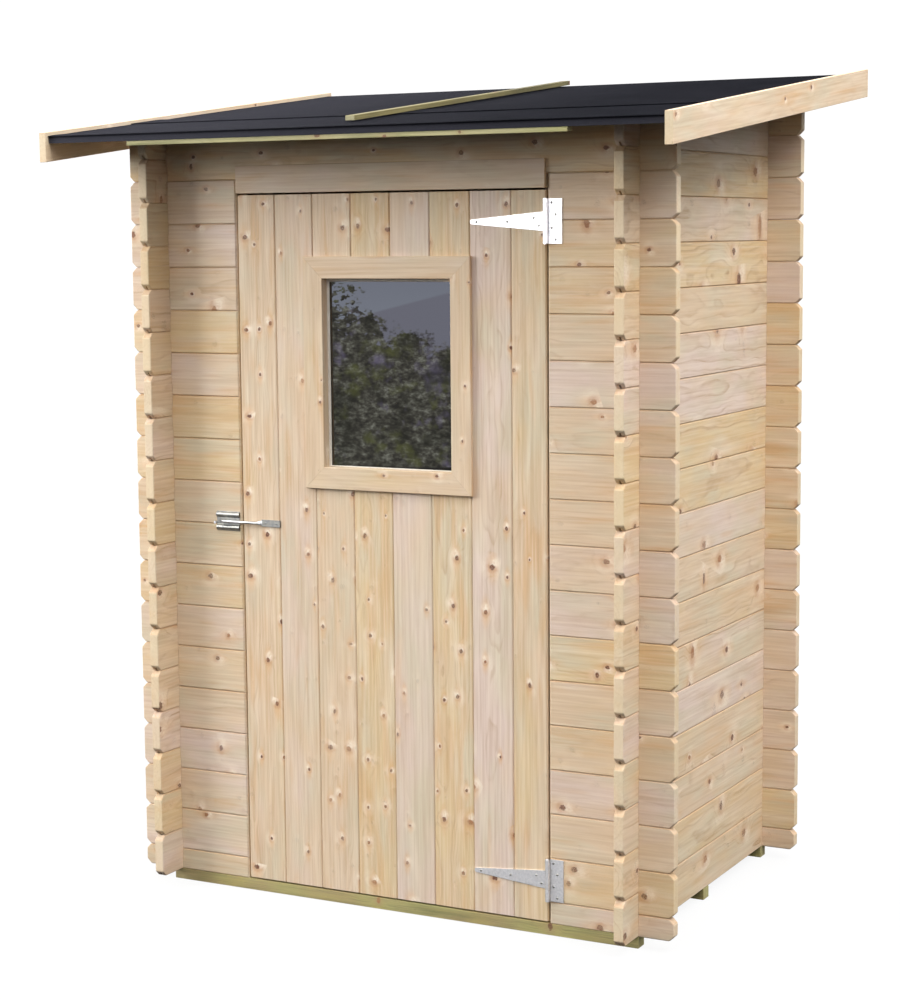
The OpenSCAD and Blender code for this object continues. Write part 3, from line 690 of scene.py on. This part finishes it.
class SHED_OT_roof_timber(bpy.types.Operator):
    """Builds the roof boards, bargeboards and battens"""

    bl_idname = "shed.roof_timber"
    bl_label = "Roof boards, bargeboards and battens"

    def execute(self, context):
        board_piece("roof_boards", ["roof_deck"], "shed", "roof_timber", "roof_boards", Y, X, slope=ROOF_SLOPE,
                    arris=1)
        board_piece("bargeboards", ["bargeboard_left", "bargeboard_right"], "shed", "planed_timber", "logs", Y, Z,
                    slope=ROOF_SLOPE, tones=[0.4, 0.5], arris=1.5)
        # The lath on the roof takes the darker copy of the treated pine, as painted shade
        board_piece("felt_batten_lath", ["felt_batten"], "shed", "treated_timber", "shaded_lath", Y, X,
                    slope=ROOF_SLOPE, arris=1)
        board_piece("eave_batten_laths", ["eave_batten_front", "eave_batten_back"], "shed", "treated_timber",
                    "treated", X, Z, arris=1)
        return {"FINISHED"}


def join_rings(bm, inner, outer):
    """Makes the faces between two rings of vertices, or between a ring and its middle."""
    for j in range(len(outer)):
        k = (j + 1) % len(outer)
        bm.faces.new((inner[j], inner[k], outer[k], outer[j]) if len(inner) > 1 else (inner[0], outer[k], outer[j]))


def felt_sheet(name, line, thickness, half, node_names, look, wave=0.0, phase=0.0):
    """A felt sheet: its under side drawn as a line of (y, z, looseness), run across the roof from -half to half and
    laid with waves where it is loose."""
    outline = list(line)
    for i in reversed(range(len(line))):
        before, after = line[max(i - 1, 0)], line[min(i + 1, len(line) - 1)]
        dy, dz = after[0] - before[0], after[1] - before[1]
        y, z, loose = line[i]
        size = math.hypot(dy, dz)
        outline.append((y - dz / size * thickness, z + dy / size * thickness, loose))
    steps = 90
    bm = bmesh.new()
    rows = []
    for i in range(steps + 1):
        x = -half + 2 * half * i / steps
        rows.append([bm.verts.new((x, y, z + wave * loose * (
            math.sin(9.0 * x + phase) * math.cos(5.0 * y + 1.3 * phase)
            + 0.6 * math.sin(23.0 * x + 3.1 * y + 2 * phase)))) for y, z, loose in outline])
    for a, b in zip(rows, rows[1:]):
        join_rings(bm, a, b)
    bm.faces.new(rows[0])
    bm.faces.new(reversed(rows[-1]))
    bmesh.ops.recalc_face_normals(bm, faces=bm.faces)
    return finish_piece(name, bm, node_names, "shed", "roofing_felt", look, smooth_below=40)


def rising(value, start, reach):
    """0 up to the start, 1 from its reach on, and even between."""
    return min(1.0, max(0.0, (value - start) / reach))


class SHED_OT_felt(bpy.types.Operator):
    """Lays the two felt sheets with their lap and the folded strip along the eave"""

    bl_idname = "shed.felt"
    bl_label = "Roofing felt"

    def execute(self, context):
        roof = context.scene.shed_roof
        deck_low, deck_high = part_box("roof_deck")
        lower_low, lower_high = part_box("roof_felt_lower")
        upper_low, upper_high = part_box("roof_felt_upper")
        thick, half, gap = roof.thickness, deck_high.x, 0.3 * MM
        strip_thick, strip_wide, strip_fold, back_fold = 1.3 * MM, 40 * MM, 2 * MM, 4 * MM
        quarter = [math.radians(22.5 * i) for i in range(5)]
        over_middle = deck_high.z - ROOF_SLOPE * deck_high.y  # height of the boards' top over the middle of the plan

        def on_boards(y):
            return over_middle + ROOF_SLOPE * y

        # The strip folded over the boards' front ends
        front = deck_low.y - gap
        line = [(front, lower_low.z, 0), (front, on_boards(front) - 3 * MM, 0)]
        line += [(front + strip_fold - strip_fold * math.cos(a),
                  on_boards(front) - strip_fold + strip_fold * math.sin(a) + gap, 0) for a in quarter]
        strip_end = front + strip_wide
        line.append((strip_end, on_boards(strip_end) + gap, 0))
        felt_sheet("felt_eave_strip", line, strip_thick, half, [], "strip")

        # The lower sheet, from its lip past the fold to under the upper sheet
        start, stop, count = front - strip_thick - roof.lip, lower_high.y, 40
        line = []
        for y in (start + (stop - start) * i / count for i in range(count + 1)):
            over = (strip_thick + 0.2 * MM) * (1 - rising(y, strip_end, 30 * MM))
            droop = 1.2 * MM * rising(front - y, 0, strip_thick + roof.lip)
            loose = rising(y, front + 50 * MM, 100 * MM) * rising(upper_low.y - y, 20 * MM, 80 * MM)
            line.append((y, on_boards(y) + gap + over - droop, loose))
        felt_sheet("felt_lower_sheet", line, thick, half, ["roof_felt_lower"], "felt", roof.wave, 0.4)

        # The upper sheet laps over the lower one and folds down over the back ends
        start, lap_end, stop, count = upper_low.y, lower_high.y + 3 * MM, deck_high.y + gap, 70
        line = []
        for y in (start + (stop - back_fold - start) * i / count for i in range(count + 1)):
            over = (thick + gap) * (1 - rising(y, lap_end, 12 * MM))
            loose = rising(y, lap_end + 30 * MM, 100 * MM) * rising(stop - y, 40 * MM, 100 * MM)
            line.append((y, on_boards(y) + gap + over, loose))
        line += [(stop - back_fold + back_fold * math.sin(a),
                  on_boards(stop) - back_fold + back_fold * math.cos(a) + gap, 0) for a in quarter[1:]]
        line.append((stop, upper_high.z - 20 * MM, 0))
        felt_sheet("felt_upper_sheet", line, thick, half, ["roof_felt_upper"], "felt", roof.wave, 1.7)
        return {"FINISHED"}


class SHED_OT_door(bpy.types.Operator):
    """Builds the door boards with their ledges and brace"""

    bl_idname = "shed.door"
    bl_label = "Door"

    def execute(self, context):
        # Tone of each door board from the left, 0 for rose, 0.5 for cream and 1 for gold
        board_piece("door_boards", ["door_leaf"], "door", "door_timber", "door", Z, X, share=True,
                    tones=[0.55, 0.3, 0.45, 0.95, 0.1, 0.9, 0.05, 0.7], arris=0.8)
        board_piece("door_ledges", ["door_ledge_top", "door_ledge_middle", "door_ledge_bottom"], "door",
                    "planed_timber", "door", X, Z, arris=2)
        # The brace's grain follows its long edges
        brace = solid_copy("door_brace")
        foot, top = (v.co.copy() for v in max(brace.edges, key=lambda e: e.calc_length()).verts)
        brace.free()
        board_piece("door_brace_board", ["door_brace"], "door", "planed_timber", "door", X, Z,
                    along_dir=(foot.x - top.x, foot.z - top.z), arris=1.5)
        return {"FINISHED"}


class SHED_OT_window(bpy.types.Operator):
    """Builds the window's mitred trim, inner frame, pane and glazing tape"""

    bl_idname = "shed.window"
    bl_label = "Window"

    def execute(self, context):
        board_piece("window_trim_upright", ["window_trim_left", "window_trim_right"], "door", "planed_timber",
                    "trim", Z, X, tones=[0.6, 0.5], arris=2.5, segments=3, mitred=True)
        board_piece("window_trim_level", ["window_trim_top", "window_trim_bottom"], "door", "planed_timber",
                    "trim", X, Z, tones=[0.55, 0.5], arris=2.5, segments=3, mitred=True)
        board_piece("window_inner_bars", ["window_inner_frame"], "door", "planed_timber", "trim", Z, X)
        bm = solid_copy("window_glass")
        for group in islands(bm):
            round_edges(bm, group, 0.4 * MM, 2)
        finish_piece("window_pane", bm, ["window_glass"], "door", "window_glass", "glass")
        # A pale bead of glazing tape round the pane, against the edge of the opening and narrower along its foot
        pane, wide, gap, round_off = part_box("window_glass")[0].y, context.scene.shed_fittings.bead, 0.3 * MM, 0.6 * MM
        left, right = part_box("window_trim_left")[1].x + gap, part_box("window_trim_right")[0].x - gap
        bottom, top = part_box("window_trim_bottom")[1].z + gap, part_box("window_trim_top")[0].z - gap
        back, front = pane - 0.1 * MM, pane - 2.6 * MM
        bm = bmesh.new()
        loops = []
        for inset, y in ((0, back), (0, front + round_off), (round_off, front), (wide - 1.6 * MM, front),
                         (wide, back)):
            low = bottom + 0.4 * inset
            loops.append([bm.verts.new(corner) for corner in (
                (left + inset, y, low), (right - inset, y, low), (right - inset, y, top - inset),
                (left + inset, y, top - inset))])
        for a, b in zip(loops, loops[1:] + loops[:1]):
            join_rings(bm, a, b)
        bmesh.ops.recalc_face_normals(bm, faces=bm.faces)
        finish_piece("glazing_tape", bm, [], "door", "window_glass", "tape")
        return {"FINISHED"}


def steel_piece(name, node_name, body, width, look="zinc"):
    """A pressed steel fitting with softened edges."""
    bm = solid_copy(node_name)
    for group in islands(bm):
        round_edges(bm, group, width, 2, above=40)
    return finish_piece(name, bm, [node_name], body, "galvanised_steel", look, smooth_below=35)


def add_screw(bm, centre, radius, turn):
    """A domed screw head facing the front, with a cross recess cut into it."""
    rings, sides = 9, 32
    height, slot_half, slot_reach, slot_deep = radius * 0.42, radius * 0.13, radius * 0.6, 0.7
    previous = []
    for i in range(rings + 1):
        r = radius * i / rings
        row = []
        for a in (2 * math.pi * j / sides for j in range(sides if i else 1)):
            dome = height * math.sqrt(max(0.0, 1 - (r / radius) ** 2 * 0.92))
            u, v = abs(r * math.cos(a - turn)), abs(r * math.sin(a - turn))
            if min(u, v) < slot_half and max(u, v) < slot_reach:
                dome -= height * slot_deep
            row.append(bm.verts.new(centre + Vector((r * math.cos(a), -dome, r * math.sin(a)))))
        if previous:
            join_rings(bm, previous, row)
        previous = row
    base = [bm.verts.new((v.co.x, centre.y + 0.2 * MM, v.co.z)) for v in previous]
    join_rings(bm, previous, base)
    bm.faces.new(reversed(base))


def screw_piece(name, spots, radius, body):
    """A set of screws, each at its own turn."""
    bm = bmesh.new()
    draw = random.Random(name)
    for spot in spots:
        add_screw(bm, Vector(spot), radius, draw.uniform(0, math.pi))
    bmesh.ops.recalc_face_normals(bm, faces=bm.faces)
    return finish_piece(name, bm, [], body, "galvanised_steel", "screws", smooth_below=50)


class SHED_OT_hinges(bpy.types.Operator):
    """Builds the strap hinges with their pins and screws"""

    bl_idname = "shed.hinges"
    bl_label = "Hinges"

    def execute(self, context):
        fittings = context.scene.shed_fittings
        steel = 2.5 * MM  # thickness of the pressed steel, from its back to the screws' seats
        on_wall, on_door = [], []
        for place in ("upper", "lower"):
            steel_piece("flange_" + place, "hinge_flange_" + place, "shed", fittings.press)
            steel_piece("strap_" + place, "hinge_strap_" + place, "door", fittings.press)
            steel_piece("pin_" + place, "hinge_pin_" + place, "shed", 0.3 * MM)
            low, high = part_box("hinge_flange_" + place)
            strap_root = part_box("hinge_strap_" + place)[1].x
            face, middle = high.y - steel, (low.z + high.z) / 2
            # Screws in mm: from the flange's edge by the door and the strap's root, and up from the hinge's middle
            for dx, dz in ((22, 47), (33, 17), (22, -17), (33, -47)):
                on_wall.append((low.x + dx * MM, face, middle + dz * MM))
            for dx, dz in ((28, -11), (43, 9), (119, 0), (208, 0)):
                on_door.append((strap_root - dx * MM, face, middle + dz * MM))
        screw_piece("flange_screws", on_wall, fittings.screw / 2, "shed")
        screw_piece("strap_screws", on_door, fittings.screw / 2, "door")
        return {"FINISHED"}


class SHED_OT_latch(bpy.types.Operator):
    """Builds the latch's keeper, bar and screws"""

    bl_idname = "shed.latch"
    bl_label = "Latch"

    def execute(self, context):
        steel_piece("keeper", "latch_keeper", "shed", context.scene.shed_fittings.press, "worn")
        rod = steel_piece("latch_rod", "latch_bar", "door", 0.5 * MM, "latch")
        # The paddle is duller than the bar, from handling
        low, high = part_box("latch_bar")
        paddle, paddle_thick = 62 * MM, 4 * MM
        rod.data.materials.append(LOOKS["worn"])
        for face in rod.data.polygons:
            face.material_index = int(face.center.x > high.x - paddle)
        screw_piece("paddle_screws", [(high.x - dx * MM, high.y - paddle_thick, (low.z + high.z) / 2)
                                      for dx in (12, 46)], 3 * MM, "door")
        return {"FINISHED"}


class SHED_OT_studio(bpy.types.Operator):
    """Sets the pale floor, the lights, the surroundings and the camera"""

    bl_idname = "shed.studio"
    bl_label = "Studio"

    def execute(self, context):
        scene, studio = context.scene, context.scene.shed_studio
        low, high = cad_box

        # Matt white floor paint: to the camera it glows white but for a soft shade, and the shed gets a dull bounce
        glow, backdrop, edge_count = 0.9, 1.05, 96
        bm = bmesh.new()
        bmesh.ops.create_circle(bm, cap_ends=True, segments=edge_count, radius=studio.floor_radius)
        mesh = bpy.data.meshes.new("studio_floor")
        bm.to_mesh(mesh)
        bm.free()
        material, add, _ = blank_material("matt white floor paint")
        material.node_tree.nodes.clear()
        soft, bounce, mirrored = (add("BsdfDiffuse", linear(grey)) for grey in ("#4A4A4A", "#202020", "#5B5B5B"))
        seen = add("AddShader", add("Emission", studio.floor, glow), soft)
        path = add("LightPath").node.outputs
        dull = add("MixShader", path["Is Glossy Ray"], bounce, mirrored)
        add("OutputMaterial", add("MixShader", path["Is Camera Ray"], dull, seen))
        mesh.materials.append(material)
        floor = bpy.data.objects.new("studio_floor", mesh)
        floor.location = (0, 0, low.z - 0.5 * MM)
        scene.collection.objects.link(floor)

        # Lights: a large soft panel low to the front left, and one high to the right; degrees round and up
        middle = (low + high) / 2
        for name, azimuth, elevation, power in (("key_panel", -55, 17, studio.key_power),
                                                ("fill_panel", 72, 47, studio.fill_power)):
            light = bpy.data.lights.new(name, "AREA")
            light.shape, light.size, light.energy = "SQUARE", studio.panel, power
            panel = bpy.data.objects.new(name, light)
            around, up = math.radians(azimuth), math.radians(elevation)
            panel.location = middle + studio.away * Vector((
                math.sin(around) * math.cos(up), -math.cos(around) * math.cos(up), math.sin(up)))
            panel.rotation_euler = (middle - panel.location).to_track_quat("-Z", "Y").to_euler()
            scene.collection.objects.link(panel)

        # Surroundings: white for the view, a soft dome for light, and a garden for the reflections in the pane
        world = bpy.data.worlds.new("studio_world")
        scene.world = world
        world.use_nodes = True
        world.node_tree.nodes.clear()
        add = partial(node, world.node_tree)
        axis = add("SeparateXYZ", add("TexCoord", out="Generated")).node.outputs
        dome = add("MapRange", axis[Z], 0.0, 1.0, studio.horizon, studio.zenith)
        dome = add("Math MULTIPLY", dome, add("Math GREATER_THAN", axis[Z], 0.0))
        path = add("LightPath").node.outputs
        unseen = add("MixShader", path["Is Glossy Ray"], add("Background", linear("#FFFFFF"), dome),
                     add("Background", garden_colour(add, axis), studio.garden))
        add("OutputWorld", add("MixShader", path["Is Camera Ray"], unseen,
                               add("Background", linear("#FFFFFF"), backdrop)))

        # Camera
        lens = bpy.data.cameras.new("camera")
        lens.sensor_fit, lens.sensor_width, lens.lens = "AUTO", 36, studio.lens
        lens.clip_start, lens.clip_end = 0.1, 100
        camera = bpy.data.objects.new("camera", lens)
        turn = Matrix.Rotation(studio.turn, 4, "Z") @ Matrix.Rotation(math.pi / 2 - studio.tilt, 4, "X")
        camera.matrix_world = Matrix.Translation(studio.stand) @ turn @ Matrix.Rotation(studio.roll, 4, "Z")
        scene.collection.objects.link(camera)
        scene.camera = camera
        scene.view_settings.view_transform = "Standard"
        return {"FINISHED"}


def garden_colour(add, axis):
    """Colour of the surroundings that shiny surfaces mirror: in front a hedge below a hill and a brightening sky, and
    behind the shed a dark wall."""
    ahead = add("Math MAXIMUM", add("Math MULTIPLY", axis[Y], -1.0), 0.05)
    side, rise = (add("Math DIVIDE", axis[i], ahead) for i in (X, Z))
    view = add("CombineXYZ", side, rise)
    # Leaves are about a sixth of a degree high and wider than that, and clumps of them 1 or 2 degrees
    leaning = add("VectorMath MULTIPLY", view, (0.6, 1.0, 0))
    leaf, clump = (add("SeparateXYZ", add("TexNoise", out="Color", named={
        "Vector": spot, "Scale": scale, "Detail": 3.0, "Roughness": roughness})).node.outputs
        for spot, scale, roughness in ((leaning, 380.0, 0.65), (view, 62.0, 0.6)))
    # The bushes' top edge, about 4 degrees below level, ragged with leaves
    edge = rise
    for value, share in ((clump[0], 0.05), (leaf[0], 0.025), (side, 0.12)):
        edge = add("Math MULTIPLY_ADD", value, share, edge)
    # A shrub stands higher than the rest on the left
    shrub = add("MapRange", side, -0.585, -0.553, -0.017, 0.0, **SMOOTH)
    shrub = add("Math MULTIPLY", shrub, add("MapRange", leaf[2], 0.4, 0.55, 0.2, 1.3))
    bushes = add("MapRange", add("Math ADD", shrub, edge), -0.084, -0.079, 1.0, 0.0)
    hill = add("MapRange", add("Math MULTIPLY_ADD", side, -0.235, rise), 0.0935, 0.0945, 1.0, 0.0)
    green = ramp(add("ValToRGB", leaf[1]), (0.34, linear("#2A2928")), (0.48, linear("#3D3C37")),
                 (0.58, linear("#52524B")), (0.7, linear("#73746C")))
    for i, none, full, most, colour in (
            (1, 0.55, 0.68, 0.5, "#6E6783"), (2, 0.55, 0.66, 0.5, "#565A31"), (0, 0.52, 0.36, 0.6, "#232420")):
        share = add("MapRange", clump[i], none, full, 0.0, most)
        green = add("Mix", named={SHARE: share, UNDER: green, OVER: linear(colour)}, **COLOURS)
    # Beside and behind the shed is the pale studio, dim behind to the left where the roof mirrors it
    behind = ramp(add("ValToRGB", add("MapRange", axis[X], -0.7, 0.7, 0.0, 1.0)), (0.0, linear("#A4A4AA")),
                  (0.28, linear("#22222A")), (0.5, linear("#2A2A30")), (0.72, linear("#5E5E5E")))
    # From the low sky on: the sky higher up, the hill, the bushes, the bright sky above what a level view mirrors
    colour = linear("#777D88")
    for share, over in ((add("MapRange", rise, -0.06, 0.0, 0.0, 1.0), linear("#696B78")),
                        (hill, linear("#686975")), (bushes, green),
                        (add("MapRange", rise, 0.0, 0.08, 0.0, 1.0), linear("#B4B2B0")),
                        (add("MapRange", axis[Y], -0.3, -0.1, 0.0, 1.0), behind)):
        colour = add("Mix", named={SHARE: share, UNDER: colour, OVER: over}, **COLOURS)
    return colour


class SHED_PT_panel(bpy.types.Panel):
    """Lists the steps that build the shed"""

    bl_idname = "SHED_PT_panel"
    bl_label = "Log shed"
    bl_space_type = "VIEW_3D"
    bl_region_type = "UI"
    bl_category = "Log shed"

    def draw(self, context):
        for step in STEPS:
            self.layout.operator(step.bl_idname)
        for name in SETTINGS:
            group = getattr(context.scene, name)
            box = self.layout.box()
            for key in group.bl_rna.properties.keys():
                if key not in ("rna_type", "name"):
                    box.prop(group, key)


STEPS = (SHED_OT_studio, SHED_OT_finishes, SHED_OT_logs, SHED_OT_base, SHED_OT_door_frame, SHED_OT_roof_timber,
         SHED_OT_felt, SHED_OT_door, SHED_OT_window, SHED_OT_hinges, SHED_OT_latch)
SETTINGS = {"shed_timber": ShedTimberSettings, "shed_treated": ShedTreatedSettings, "shed_roof": ShedRoofSettings,
            "shed_fittings": ShedFittingSettings, "shed_studio": ShedStudioSettings}


def register():
    """Adds the settings, the steps and the panel."""
    for item in (*SETTINGS.values(), *STEPS, SHED_PT_panel):
        bpy.utils.register_class(item)
    for name, group in SETTINGS.items():
        setattr(bpy.types.Scene, name, bpy.props.PointerProperty(type=group))


def unregister():
    """Takes them away again."""
    for name in SETTINGS:
        delattr(bpy.types.Scene, name)
    for item in reversed((*SETTINGS.values(), *STEPS, SHED_PT_panel)):
        bpy.utils.unregister_class(item)


def main():
    """Builds everything in order."""
    register()
    bpy.ops.shed.studio()
    bpy.ops.shed.finishes()
    bpy.ops.shed.logs()
    bpy.ops.shed.base()
    bpy.ops.shed.door_frame()
    bpy.ops.shed.roof_timber()
    bpy.ops.shed.felt()
    bpy.ops.shed.door()
    bpy.ops.shed.window()
    bpy.ops.shed.hinges()
    bpy.ops.shed.latch()


if __name__ == "__main__":
    main()
